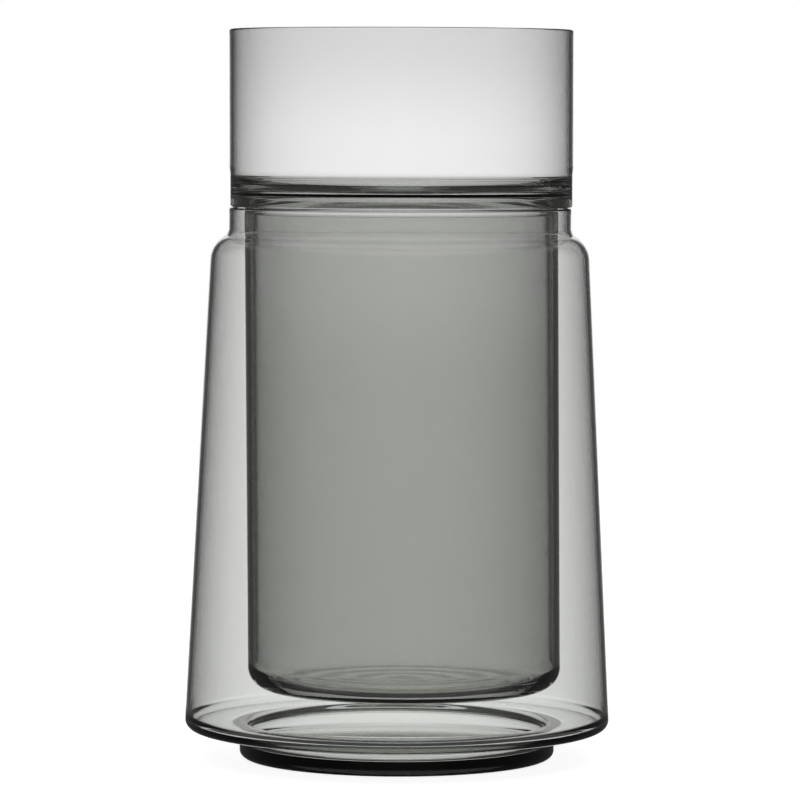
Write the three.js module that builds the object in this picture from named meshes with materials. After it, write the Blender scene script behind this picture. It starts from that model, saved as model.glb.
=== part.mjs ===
// A two-piece glass vase. The outer vessel is a tapered body on a hollow foot. The inner vessel hangs
// in it: its collar rests on the neck's rim, its well reaches down inside the body, and its cup stands
// above the rim. Millimetres, +Z up, with the origin in the middle of the foot's flat underside.
import * as THREE from 'three';

// Inner vessel
const WELL_RADIUS = 64.5;          // outside of the cylinder that hangs inside the body
const WELL_WALL = 2.2;
const WELL_FLOOR = 3.4;
const WELL_CORNER = 9.2;           // outside round between the well's wall and its floor
const WELL_FLOOR_CORNER = 7.4;     // the same round, inside
const CUP_WALL = 1.8;
const CUP_RISE = 72.7;             // from the seat to the cup's rim
const CUP_PROUD = 0.3;             // the cup's outside stands this far outside the collar
const CUP_CORNER = 5.9;            // hollow round between the cup's wall and the funnel
const FUNNEL_RISE = 4.5;           // from the seat to the height where the bore starts to open
const FUNNEL_PITCH = 53.0;         // degrees above level, of the slope from the bore to the cup
const FUNNEL_EDGE = 4.2;           // round where the funnel turns down into the bore
const COLLAR_HEIGHT = 12.5;        // plain band of thick glass above the seat
const COLLAR_BLEND = 5.0;          // height over which the collar widens to the cup
const SEAT_EDGE = 0.7;             // round on the collar's lower edge

// Outer vessel
const VESSEL_HEIGHT = 227.0;
const BODY_RADIUS = 87.6;          // widest, just above the lower corner
const BODY_WALL = 1.8;
const BODY_CORNER = 4.2;
const BODY_FLOOR = 2.9;            // thickness of the ring of floor between the wall and the foot
const BODY_FLOOR_CORNER = 4.3;     // hollow round between the wall and that ring
const FLOOR_EDGE = 2.8;            // round where the ring turns down into the foot
const SHOULDER_ROUND = 12.0;
const SHOULDER_PITCH = 31.6;       // degrees below level, where the shoulder leaves the neck
const NECK_HEIGHT = 8.4;
const NECK_ROOT = 4.0;             // hollow round between the neck and the shoulder
const FOOT_HEIGHT = 11.9;
const FOOT_INSET = 22.5;           // from the body's widest radius in to the foot's
const FOOT_CORNER = 3.4;
const FOOT_WALL = 4.0;
const FOOT_FLOOR = 5.6;
const FOOT_FLOOR_CORNER = 3.3;
const FOOT_ROOT = 3.1;             // hollow round between the body's underside and the foot

// Fits between the two
const NECK_CLEARANCE = 4.05;       // all round, between the well and the neck's bore
const SEAT_GAP = 0.3;              // between the rim and the collar's underside
const WELL_GAP = 13.8;             // from the body's floor up to the well's underside

// Faceting
const SEGMENTS = 56;
const CHORD_ERROR = 0.14;

const neckRadius = WELL_RADIUS + NECK_CLEARANCE + BODY_WALL;
const footRadius = BODY_RADIUS - FOOT_INSET;
const seatHeight = VESSEL_HEIGHT + SEAT_GAP;
const floorTop = FOOT_HEIGHT + BODY_FLOOR;
const wellBottom = floorTop + WELL_GAP;

const degrees = (value) => value * Math.PI / 180;
const flat = 0;
const up = degrees(90);
const down = degrees(-90);
const inward = degrees(180);

// Half of a section, drawn from the axis outwards, up the outside and back down the inside.
class Section {
  constructor(height) {
    this.points = [new THREE.Vector2(0, height)];
  }

  lineTo(radius, height) {
    const last = this.points[this.points.length - 1];
    const next = new THREE.Vector2(radius, height);
    if (last.distanceTo(next) > 1e-6) this.points.push(next);
    return this;
  }

  // An arc about a centre, from one angle to the other. Angles are measured from the outward radius.
  // The number of steps is even, so that a rim's half-turn has a point at its very top.
  arc(centreRadius, centreHeight, radius, from, to) {
    const widest = 2 * Math.acos(1 - Math.min(CHORD_ERROR / radius, 1));
    const steps = 2 * Math.ceil(Math.abs(to - from) / (2 * widest));
    for (let step = 0; step <= steps; step += 1) {
      const angle = from + (to - from) * step / steps;
      this.lineTo(centreRadius + radius * Math.cos(angle), centreHeight + radius * Math.sin(angle));
    }
    return this;
  }

  solid() {
    return new THREE.LatheGeometry(this.points, SEGMENTS).rotateX(degrees(90));
  }
}

// The body's outside: where its rounds are centred, and how far the cone between them leans.
function bodyOutline() {
  const pitch = degrees(90 - SHOULDER_PITCH);
  const root = { radius: neckRadius + NECK_ROOT, height: VESSEL_HEIGHT - NECK_HEIGHT };
  const reach = NECK_ROOT + SHOULDER_ROUND;
  const shoulder = {
    radius: root.radius - reach * Math.cos(pitch),
    height: root.height - reach * Math.sin(pitch),
  };
  const corner = { radius: BODY_RADIUS - BODY_CORNER, height: FOOT_HEIGHT + BODY_CORNER };
  const across = corner.radius - shoulder.radius;
  const along = corner.height - shoulder.height;
  const lean = Math.atan2(along, across)
    + Math.acos((SHOULDER_ROUND - BODY_CORNER) / Math.hypot(across, along));
  return { pitch, root, shoulder, corner, lean };
}

// Where the hollow round between the body's wall and its floor is centred: it touches both inside.
function insideCorner(corner, lean) {
  const height = floorTop + BODY_FLOOR_CORNER;
  const reach = BODY_CORNER - BODY_WALL - BODY_FLOOR_CORNER;
  const rise = (height - corner.height) * Math.sin(lean);
  return { radius: corner.radius + (reach - rise) / Math.cos(lean), height };
}

function outerVessel() {
  const { pitch, root, shoulder, corner, lean } = bodyOutline();
  const inside = insideCorner(corner, lean);
  const footRoot = { radius: footRadius + FOOT_ROOT, height: FOOT_HEIGHT - FOOT_ROOT };
  const footBore = footRadius - FOOT_WALL;
  const footFloor = { radius: footBore - FOOT_FLOOR_CORNER, height: FOOT_FLOOR + FOOT_FLOOR_CORNER };
  const lip = BODY_WALL / 2;
  return new Section(0)
    .arc(footRadius - FOOT_CORNER, FOOT_CORNER, FOOT_CORNER, down, flat)
    .arc(footRoot.radius, footRoot.height, FOOT_ROOT, inward, up)
    .arc(corner.radius, corner.height, BODY_CORNER, down, lean)
    .arc(shoulder.radius, shoulder.height, SHOULDER_ROUND, lean, pitch)
    .arc(root.radius, root.height, NECK_ROOT, pitch + inward, inward)
    .arc(neckRadius - lip, VESSEL_HEIGHT - lip, lip, flat, inward)
    .arc(root.radius, root.height, NECK_ROOT + BODY_WALL, inward, pitch + inward)
    .arc(shoulder.radius, shoulder.height, SHOULDER_ROUND - BODY_WALL, pitch, lean)
    .arc(inside.radius, inside.height, BODY_FLOOR_CORNER, lean, down)
    .arc(footBore + FLOOR_EDGE, floorTop - FLOOR_EDGE, FLOOR_EDGE, up, inward)
    .arc(footFloor.radius, footFloor.height, FOOT_FLOOR_CORNER, flat, down)
    .lineTo(0, FOOT_FLOOR)
    .solid();
}

// Inside the inner vessel, a funnel joins the cup's wall to the well's bore: a hollow round at the
// top, a straight slope, and an edge that turns down. The slope touches both rounds.
function funnel(bore, cupBore) {
  const pitch = degrees(FUNNEL_PITCH);
  const edge = { radius: bore + FUNNEL_EDGE, height: seatHeight + FUNNEL_RISE };
  const rounds = CUP_CORNER + FUNNEL_EDGE;
  const slope = cupBore - bore - rounds * (1 - Math.sin(pitch));
  const corner = {
    radius: cupBore - CUP_CORNER,
    height: edge.height + rounds * Math.cos(pitch) + slope * Math.tan(pitch),
  };
  return { pitch, edge, corner };
}

function innerVessel() {
  const cupRadius = neckRadius + CUP_PROUD;
  const cupTop = seatHeight + CUP_RISE;
  const lip = CUP_WALL / 2;
  const bore = WELL_RADIUS - WELL_WALL;
  const { pitch, edge, corner } = funnel(bore, cupRadius - CUP_WALL);
  const floor = wellBottom + WELL_FLOOR;
  return new Section(wellBottom)
    .arc(WELL_RADIUS - WELL_CORNER, wellBottom + WELL_CORNER, WELL_CORNER, down, flat)
    .lineTo(WELL_RADIUS, seatHeight)
    .arc(neckRadius - SEAT_EDGE, seatHeight + SEAT_EDGE, SEAT_EDGE, down, flat)
    .lineTo(neckRadius, seatHeight + COLLAR_HEIGHT)
    .lineTo(cupRadius, seatHeight + COLLAR_HEIGHT + COLLAR_BLEND)
    .arc(cupRadius - lip, cupTop - lip, lip, flat, inward)
    .arc(corner.radius, corner.height, CUP_CORNER, flat, pitch - up)
    .arc(edge.radius, edge.height, FUNNEL_EDGE, pitch + up, inward)
    .arc(bore - WELL_FLOOR_CORNER, floor + WELL_FLOOR_CORNER, WELL_FLOOR_CORNER, flat, down)
    .lineTo(0, floor)
    .solid();
}

const paleSmoke = new THREE.MeshStandardMaterial({ color: 0xb9bcb6, roughness: 0.03, metalness: 0 });
const deepSmoke = new THREE.MeshStandardMaterial({ color: 0x8f948a, roughness: 0.03, metalness: 0 });

const vase = new THREE.Group();
vase.name = 'vase';

const outer = new THREE.Mesh(outerVessel(), paleSmoke);
outer.name = 'outer_vessel';
vase.add(outer);

const inner = new THREE.Mesh(innerVessel(), deepSmoke);
inner.name = 'inner_vessel';
vase.add(inner);

export default vase;
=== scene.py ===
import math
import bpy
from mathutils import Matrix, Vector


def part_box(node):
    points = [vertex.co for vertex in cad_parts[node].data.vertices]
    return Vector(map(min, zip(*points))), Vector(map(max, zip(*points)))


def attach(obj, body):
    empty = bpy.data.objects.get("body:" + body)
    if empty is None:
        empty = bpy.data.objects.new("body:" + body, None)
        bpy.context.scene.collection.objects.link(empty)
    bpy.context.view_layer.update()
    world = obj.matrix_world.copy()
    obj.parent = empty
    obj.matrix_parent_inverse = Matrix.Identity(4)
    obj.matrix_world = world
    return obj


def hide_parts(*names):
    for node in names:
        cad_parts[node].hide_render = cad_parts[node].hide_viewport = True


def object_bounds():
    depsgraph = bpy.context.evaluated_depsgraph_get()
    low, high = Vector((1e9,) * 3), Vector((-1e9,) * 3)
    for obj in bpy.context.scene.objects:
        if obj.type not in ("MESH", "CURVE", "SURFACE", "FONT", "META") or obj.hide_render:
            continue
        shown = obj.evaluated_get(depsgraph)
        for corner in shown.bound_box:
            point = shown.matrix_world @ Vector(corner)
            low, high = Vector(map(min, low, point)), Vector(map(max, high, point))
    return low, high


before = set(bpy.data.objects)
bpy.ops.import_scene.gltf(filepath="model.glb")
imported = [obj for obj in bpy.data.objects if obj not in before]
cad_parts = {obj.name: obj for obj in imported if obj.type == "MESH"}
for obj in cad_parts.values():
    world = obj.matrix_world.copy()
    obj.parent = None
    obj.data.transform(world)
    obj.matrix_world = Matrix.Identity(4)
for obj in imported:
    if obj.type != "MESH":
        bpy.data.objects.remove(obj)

# A smoke-glass vase in two nested vessels, on a pale floor in a bright-field studio:
# a light panel behind the glass and darkness beside it, which is what draws the glass's edges.

cadBox = [list(corner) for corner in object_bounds()]
mm = 0.001
upright = math.radians(90)
level = 0.0
downright = math.radians(-90)
inward = math.radians(180)


# Shader maths

class Wire:
    # one output socket, which Python's operators turn into Math nodes
    def __init__(self, graph, socket):
        self.graph = graph
        self.socket = socket

    def maths(self, operation, *others):
        values = dict(enumerate((self, *others)))
        return self.graph.node("ShaderNodeMath", {"operation": operation}, values)

    def __add__(self, other):
        return self.maths("ADD", other)

    def __radd__(self, other):
        return self.maths("ADD", other)

    def __mul__(self, other):
        return self.maths("MULTIPLY", other)

    def __rmul__(self, other):
        return self.maths("MULTIPLY", other)

    def __sub__(self, other):
        return self.maths("SUBTRACT", other)

    def __rsub__(self, other):
        return (self * -1.0).maths("ADD", other)


class Graph:
    def __init__(self, tree):
        self.tree = tree
        self.tree.nodes.clear()

    # any node: its type, its settings, the values or links of its sockets, and the output wanted
    def node(self, kind, settings=None, sockets=None, output=0):
        made = self.tree.nodes.new(kind)
        for name, value in (settings or {}).items():
            setattr(made, name, value)
        for name, value in (sockets or {}).items():
            if isinstance(value, Wire):
                self.tree.links.new(value.socket, made.inputs[name])
            else:
                made.inputs[name].default_value = value
        return Wire(self, made.outputs[output]) if len(made.outputs) else made

    # a soft step: low before start, high after end
    def smooth(self, value, start, end, low=0.0, high=1.0):
        return self.node("ShaderNodeMapRange", {"interpolation_type": "SMOOTHSTEP"}, {
            "Value": value, "From Min": start, "From Max": end, "To Min": low, "To Max": high})

    def mixColour(self, share, first, second):
        return self.node("ShaderNodeMix", {"data_type": "RGBA"}, {0: share, 6: first, 7: second}, 2)


# Sections and lathe work

class Section:
    # half of a section, from the axis up the outside and back down the inside
    def __init__(self, height, step=3.5 * mm, turn=math.radians(4.5)):
        self.points = [(0.0, height)]
        self.step = step
        self.turn = turn

    def add(self, radius, height):
        if math.dist(self.points[-1], (radius, height)) > 1e-6:
            self.points.append((radius, height))

    def lineTo(self, radius, height):
        r0, z0 = self.points[-1]
        count = max(1, math.ceil(math.dist((r0, z0), (radius, height)) / self.step))
        for k in range(1, count + 1):
            share = k / count
            self.add(r0 + (radius - r0) * share, z0 + (height - z0) * share)

    def arc(self, centre, radius, start, end):
        count = max(4, math.ceil(abs(end - start) / self.turn))
        self.lineTo(centre[0] + radius * math.cos(start), centre[1] + radius * math.sin(start))
        for k in range(1, count + 1):
            angle = start + (end - start) * k / count
            self.add(centre[0] + radius * math.cos(angle), centre[1] + radius * math.sin(angle))

    # an S-shaped step in radius between the last point and a new one
    def blendTo(self, radius, height, count=8):
        r0, z0 = self.points[-1]
        for k in range(1, count + 1):
            share = k / count
            eased = share * share * (3 - 2 * share)
            self.add(r0 + (radius - r0) * eased, z0 + (height - z0) * share)


# turns a section about the upright axis; sway gives how far each height stands aside of it
def lathe(name, points, sway, segments=224):
    verts, rings = [], []
    for radius, height in points:
        first = len(verts)
        spokes = segments if radius > 1e-7 else 1       # a point on the axis is one vertex
        rings.append(range(first, first + spokes))
        for k in range(spokes):
            angle = 2 * math.pi * k / segments
            verts.append((sway(height) + radius * math.cos(angle), radius * math.sin(angle), height))
    faces = []
    for low, high in zip(rings, rings[1:]):
        for k in range(segments):
            n = (k + 1) % segments
            if len(low) == 1:
                faces.append((low[0], high[n], high[k]))
            elif len(high) == 1:
                faces.append((low[k], low[n], high[0]))
            else:
                faces.append((low[k], low[n], high[n], high[k]))
    mesh = bpy.data.meshes.new(name)
    mesh.from_pydata(verts, [], faces)
    mesh.shade_smooth()
    piece = bpy.data.objects.new(name, mesh)
    bpy.context.scene.collection.objects.link(piece)
    return piece


# Glass: the melt's own colour is its absorption, and the surface tint adds what varies with height

def smokeGlass(name, look):
    material = bpy.data.materials.new(name)
    material.use_nodes = True
    graph = Graph(material.node_tree)
    place = graph.node("ShaderNodeTexCoord", output="Object")
    height = graph.node("ShaderNodeSeparateXYZ", sockets={0: place}, output=2)
    drawn = graph.node("ShaderNodeMapping", sockets={
        0: place, "Scale": (1.0, 1.0, look["streakStretch"])})
    streaks = graph.node("ShaderNodeTexNoise", sockets={
        "Vector": drawn, "Scale": look["streakScale"], "Detail": 3.0})
    lower = graph.smooth(height, look["deepFrom"], look["deepBelow"])
    shade = graph.mixColour(lower, look["middle"], look["deep"])
    depth = graph.smooth(height, look["clearAbove"], look["tintBelow"])
    uneven = depth * (1 - streaks * look["streakAmount"])
    tint = graph.mixColour(uneven, look["clear"], shade)
    rimward = graph.smooth(height, look["rimFrom"], look["rimTo"])
    tint = graph.mixColour(rimward, tint, look["rim"])
    ripple = graph.node("ShaderNodeTexNoise", sockets={
        "Vector": place, "Scale": look["rippleScale"], "Detail": 1.0})
    relief = graph.node("ShaderNodeBump", sockets={
        "Strength": look["rippleStrength"], "Distance": look["rippleDepth"], "Height": ripple})
    surface = graph.node("ShaderNodeBsdfPrincipled", sockets={
        "Base Color": tint, "Roughness": 0.0, "IOR": 1.5, "Transmission Weight": 1.0,
        "Normal": relief})
    body = graph.node("ShaderNodeVolumeAbsorption", sockets={
        "Color": look["bodyColour"], "Density": look["bodyDensity"]})
    graph.node("ShaderNodeOutputMaterial", sockets={"Surface": surface, "Volume": body})
    return material


# The outer vessel

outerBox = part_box("outer_vessel")
outerShape = {
    "height": outerBox[1][2],
    "bodyRadius": outerBox[1][0],
    "neckRadius": 70.35 * mm,
    "wall": 1.8 * mm,
    "bodyCorner": 4.2 * mm,
    "bodyFloor": 2.9 * mm,            # the ring between the wall and the foot
    "bodyFloorCorner": 4.3 * mm,
    "floorEdge": 2.8 * mm,
    "shoulderRound": 12.0 * mm,
    "shoulderPitch": math.radians(31.6),
    "neckHeight": 8.4 * mm,
    "neckRoot": 4.0 * mm,
    "footHeight": 11.9 * mm,
    "footInset": 22.5 * mm,
    "footCorner": 3.4 * mm,
    "footWall": 4.0 * mm,
    "footFloor": 5.6 * mm,
    "footFloorCorner": 3.3 * mm,
    "footRoot": 3.1 * mm,
    "lean": math.radians(0.19),       # hand-finished: a touch out of true
}
outerLook = {
    "clear": (1.0, 1.0, 1.0, 1.0),
    "middle": (0.985, 0.9875, 0.9825, 1.0),
    "deep": (0.97, 0.975, 0.965, 1.0),
    "clearAbove": 226 * mm,
    "tintBelow": 113 * mm,
    "deepFrom": 113 * mm,
    "deepBelow": 0.0,
    "rim": (1.0, 1.0, 1.0, 1.0),
    "rimFrom": 220 * mm,
    "rimTo": 228 * mm,
    "streakScale": 18.0,
    "streakStretch": 0.15,
    "streakAmount": 0.3,
    "rippleScale": 22.0,
    "rippleStrength": 0.2,
    "rippleDepth": 0.1 * mm,
    "bodyColour": (0.47, 0.49, 0.45, 1.0),
    "bodyDensity": 100.0,
}


def outerSection(s):
    pitch = upright - s["shoulderPitch"]
    root = (s["neckRadius"] + s["neckRoot"], s["height"] - s["neckHeight"])
    reach = s["neckRoot"] + s["shoulderRound"]
    shoulder = (root[0] - reach * math.cos(pitch), root[1] - reach * math.sin(pitch))
    corner = (s["bodyRadius"] - s["bodyCorner"], s["footHeight"] + s["bodyCorner"])
    across, along = corner[0] - shoulder[0], corner[1] - shoulder[1]
    lean = math.atan2(along, across) + math.acos(
        (s["shoulderRound"] - s["bodyCorner"]) / math.hypot(across, along))
    wall, lip = s["wall"], s["wall"] / 2
    footRadius = s["bodyRadius"] - s["footInset"]
    footRoot = (footRadius + s["footRoot"], s["footHeight"] - s["footRoot"])
    footBore = footRadius - s["footWall"]
    footFloor = (footBore - s["footFloorCorner"], s["footFloor"] + s["footFloorCorner"])
    floorTop = s["footHeight"] + s["bodyFloor"]
    edge = (footBore + s["floorEdge"], floorTop - s["floorEdge"])
    # the hollow round inside touches the wall and the floor
    hollow = s["bodyFloorCorner"]
    reach = s["bodyCorner"] - wall - hollow - (floorTop + hollow - corner[1]) * math.sin(lean)
    inside = (corner[0] + reach / math.cos(lean), floorTop + hollow)
    section = Section(0.0)
    section.arc((footRadius - s["footCorner"], s["footCorner"]), s["footCorner"], downright, level)
    section.arc(footRoot, s["footRoot"], inward, upright)
    section.arc(corner, s["bodyCorner"], downright, lean)
    section.arc(shoulder, s["shoulderRound"], lean, pitch)
    section.arc(root, s["neckRoot"], pitch + inward, inward)
    section.arc((s["neckRadius"] - lip, s["height"] - lip), lip, level, inward)
    section.arc(root, s["neckRoot"] + wall, inward, pitch + inward)
    section.arc(shoulder, s["shoulderRound"] - wall, pitch, lean)
    section.arc(inside, hollow, lean, downright)
    section.arc(edge, s["floorEdge"], upright, inward)
    section.arc(footFloor, s["footFloorCorner"], level, downright)
    section.lineTo(0.0, s["footFloor"])
    return section.points


def outerSway(height):
    return height * math.tan(outerShape["lean"])


outerGlass = lathe("outerGlass", outerSection(outerShape), outerSway)
outerGlass.data.materials.append(smokeGlass("paleSmokeGlass", outerLook))
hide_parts("outer_vessel")
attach(outerGlass, "outer")
print("outer vessel made")


# The inner vessel

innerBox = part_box("inner_vessel")
innerShape = {
    "bottom": innerBox[0][2],
    "top": innerBox[1][2],
    "seat": outerShape["height"] + 0.3 * mm,      # the collar's underside, just clear of the rim
    "cupRadius": innerBox[1][0],
    "cupWall": 1.8 * mm,
    "cupProud": 0.3 * mm,
    "cupCorner": 5.9 * mm,
    "wellRadius": 64.5 * mm,
    "wellWall": 2.2 * mm,
    "wellFloor": 3.4 * mm,
    "wellCorner": 9.2 * mm,
    "wellFloorCorner": 7.4 * mm,
    "funnelRise": 3.0 * mm,
    "funnelPitch": math.radians(46),
    "funnelEdge": 3.0 * mm,
    "collarHeight": 12.5 * mm,
    "collarBlend": 5.0 * mm,
    "seatEdge": 0.7 * mm,
    # each ring's radius and its height above the floor
    "ripples": (
        (50.0 * mm, 0.25 * mm),
        (36.0 * mm, 0.3 * mm),
        (22.0 * mm, 0.3 * mm),
        (9.0 * mm, 0.25 * mm),
    ),
    "rippleWidth": 5.0 * mm,
    "rippleStep": 0.8 * mm,           # from one point of the floor to the next
    "seatShift": 0.43 * mm,           # beside the middle of the neck
    "wellLean": math.radians(-0.52),
    "cupLean": math.radians(-0.15),
}
innerLook = {
    "clear": (1.0, 1.0, 1.0, 1.0),
    "middle": (0.769, 0.774, 0.757, 1.0),
    "deep": (0.722, 0.7275, 0.705, 1.0),
    "clearAbove": 243 * mm,
    "tintBelow": 239 * mm,
    "deepFrom": 205 * mm,
    "deepBelow": 150 * mm,
    "rim": (0.89, 0.89, 0.89, 1.0),
    "rimFrom": 250 * mm,
    "rimTo": 303 * mm,
    "streakScale": 18.0,
    "streakStretch": 0.15,
    "streakAmount": 0.15,
    "rippleScale": 22.0,
    "rippleStrength": 0.2,
    "rippleDepth": 0.1 * mm,
    "bodyColour": (0.64, 0.65, 0.63, 1.0),
    "bodyDensity": 100.0,
}


def innerSection(s):
    lip = s["cupWall"] / 2
    neckRadius = s["cupRadius"] - s["cupProud"]
    bore = s["wellRadius"] - s["wellWall"]
    cupBore = s["cupRadius"] - s["cupWall"]
    pitch = s["funnelPitch"]
    rounds = s["cupCorner"] + s["funnelEdge"]
    slope = cupBore - bore - rounds * (1 - math.sin(pitch))
    edge = (bore + s["funnelEdge"], s["seat"] + s["funnelRise"])
    hollow = (cupBore - s["cupCorner"], edge[1] + rounds * math.cos(pitch) + slope * math.tan(pitch))
    floorTop = s["bottom"] + s["wellFloor"]
    floorCorner = s["wellFloorCorner"]
    section = Section(s["bottom"])
    section.arc((s["wellRadius"] - s["wellCorner"], s["bottom"] + s["wellCorner"]),
                s["wellCorner"], downright, level)
    section.lineTo(s["wellRadius"], s["seat"])
    section.arc((neckRadius - s["seatEdge"], s["seat"] + s["seatEdge"]), s["seatEdge"], downright, level)
    section.lineTo(neckRadius, s["seat"] + s["collarHeight"])
    section.blendTo(s["cupRadius"], s["seat"] + s["collarHeight"] + s["collarBlend"])
    section.arc((s["cupRadius"] - lip, s["top"] - lip), lip, level, inward)
    section.arc(hollow, s["cupCorner"], level, pitch - upright)
    section.arc(edge, s["funnelEdge"], pitch + upright, inward)
    section.arc((bore - floorCorner, floorTop + floorCorner), floorCorner, level, downright)
    # low rings in the floor, left by the turning of the mould
    reach = section.points[-1][0]
    count = math.ceil(reach / s["rippleStep"])
    for k in range(1, count + 1):
        radius = reach * (1 - k / count)
        swell = sum(depth * math.exp(-((radius - place) / s["rippleWidth"]) ** 2)
                    for place, depth in s["ripples"])
        section.add(radius, floorTop + swell)
    return section.points


def innerSway(height):
    s = innerShape
    lean = s["wellLean"] if height < s["seat"] else s["cupLean"]
    return outerSway(s["seat"]) + s["seatShift"] + (height - s["seat"]) * math.tan(lean)


innerGlass = lathe("innerGlass", innerSection(innerShape), innerSway)
innerGlass.data.materials.append(smokeGlass("deepSmokeGlass", innerLook))
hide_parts("inner_vessel")
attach(innerGlass, "inner")
print("inner vessel made")


# The studio

studio = {
    "backdrop": {"turn": 0, "low": -42, "high": 24},
    "sidePanels": (
        {"turn": -90, "low": -42, "high": 24},
        {"turn": 135, "low": -53, "high": 13},
        {"turn": -45, "low": -63, "high": 3},
    ),
    "panelHalf": 11.5,
    "panelSoft": 2.0,
    "panelLight": 1.05,
    "panelEdgeLight": 0.78,           # of the middle's, from this far aside
    "panelEdgeFrom": 6.0,
    "darkLight": 0.07,
    "topFrom": (38, 58),
    "topLight": 0.5,
    "floorFrom": (-16, -36),
    "floorLight": 0.45,
    "floorRadius": 1.6,
    "floorDrop": 0.2 * mm,            # below the foot, so that the two never touch
    "floorColour": (0.95, 0.95, 0.95, 1.0),
    "floorGlow": 0.9,
    "grainScale": 900.0,
    "grainDepth": 0.1 * mm,
}


# an upright strip of light in front of a heading, with parallel sides
def panelShade(graph, x, y, rise, panel, s):
    soft = s["panelSoft"]
    heading = math.radians(panel["turn"])
    sideways = x * math.cos(heading) - y * math.sin(heading)
    ahead = (x * math.sin(heading) + y * math.cos(heading)).maths("GREATER_THAN", 0.0)
    aside = sideways.maths("ARCSINE").maths("ABSOLUTE") * math.degrees(1)
    across = graph.smooth(aside, s["panelHalf"] - soft, s["panelHalf"] + soft, 1.0, 0.0)
    above = graph.smooth(rise, panel["low"] - soft, panel["low"] + soft)
    below = graph.smooth(rise, panel["high"] - soft, panel["high"] + soft, 1.0, 0.0)
    edgeLight = s["panelLight"] * s["panelEdgeLight"]
    middle = graph.smooth(aside, 0.0, s["panelEdgeFrom"], s["panelLight"], edgeLight)
    return across * above * below * middle * ahead


def makeWorld(s):
    world = bpy.data.worlds.new("studioWorld")
    world.use_nodes = True
    bpy.context.scene.world = world
    graph = Graph(world.node_tree)
    direction = graph.node("ShaderNodeTexCoord", output="Generated")
    parts = graph.node("ShaderNodeSeparateXYZ", sockets={0: direction}, output=0)
    x, y, z = (Wire(graph, socket) for socket in parts.socket.node.outputs)
    rise = z.maths("ARCSINE") * math.degrees(1)
    light = graph.smooth(rise, *s["topFrom"]) * s["topLight"] + s["darkLight"]
    light = light + graph.smooth(rise, *s["floorFrom"]) * y.maths("LESS_THAN", 0.0) * s["floorLight"]
    light = light + panelShade(graph, x, y, rise, s["backdrop"], s)
    # the side panels light the glass from behind in other views, and aren't mirrored in it
    mirrored = graph.node("ShaderNodeLightPath", output="Glossy Depth").maths("GREATER_THAN", 0.5)
    for panel in s["sidePanels"]:
        light = light + panelShade(graph, x, y, rise, panel, s) * (1 - mirrored)
    seen = graph.node("ShaderNodeLightPath", output="Is Camera Ray")
    shown = graph.node("ShaderNodeBackground", sockets={"Color": (1.0, 1.0, 1.0, 1.0), "Strength": 1.0})
    lit = graph.node("ShaderNodeBackground", sockets={"Color": (1.0, 1.0, 1.0, 1.0), "Strength": light})
    both = graph.node("ShaderNodeMixShader", sockets={0: seen, 1: lit, 2: shown})
    graph.node("ShaderNodeOutputWorld", sockets={"Surface": both})


def makeFloor(s):
    floor = lathe("paleFloor", [(0.0, 0.0), (s["floorRadius"], 0.0)], lambda height: 0.0, segments=96)
    floor.location.z = cadBox[0][2] - s["floorDrop"]
    material = bpy.data.materials.new("palePaper")
    material.use_nodes = True
    graph = Graph(material.node_tree)
    place = graph.node("ShaderNodeTexCoord", output="Object")
    grain = graph.node("ShaderNodeTexNoise", sockets={
        "Vector": place, "Scale": s["grainScale"], "Detail": 2.0})
    relief = graph.node("ShaderNodeBump", sockets={
        "Strength": 0.1, "Distance": s["grainDepth"], "Height": grain})
    paper = graph.node("ShaderNodeBsdfPrincipled", sockets={
        "Base Color": s["floorColour"], "Roughness": 0.9, "Normal": relief,
        "Emission Color": (1.0, 1.0, 1.0, 1.0), "Emission Strength": s["floorGlow"]})
    graph.node("ShaderNodeOutputMaterial", sockets={"Surface": paper})
    floor.data.materials.append(material)
    floor.visible_transmission = False
    floor.visible_glossy = False


view = {
    "place": Vector((0.0, -2.013, 0.271)),
    "aim": Vector((0.9 * mm, 0.0, 147.7 * mm)),
    "roll": math.radians(0.2),
    "halfAngle": math.radians(4.671),
    "sensor": 36,
}


def makeCamera(v):
    camera = bpy.data.objects.new("studioCamera", bpy.data.cameras.new("studioCamera"))
    bpy.context.scene.collection.objects.link(camera)
    camera.location = v["place"]
    facing = (v["aim"] - v["place"]).to_track_quat("-Z", "Y").to_matrix().to_4x4()
    camera.rotation_euler = facing.to_euler()
    camera.rotation_euler.rotate_axis("Z", v["roll"])
    camera.data.sensor_width = v["sensor"]
    camera.data.lens = v["sensor"] / (2 * math.tan(v["halfAngle"]))
    camera.data.clip_end = 20
    bpy.context.scene.camera = camera


makeWorld(studio)
makeFloor(studio)
makeCamera(view)
scene = bpy.context.scene
scene.view_settings.view_transform = "Standard"
scene.cycles.max_bounces = 32
scene.cycles.transmission_bounces = 32
scene.cycles.glossy_bounces = 16
print("studio made")
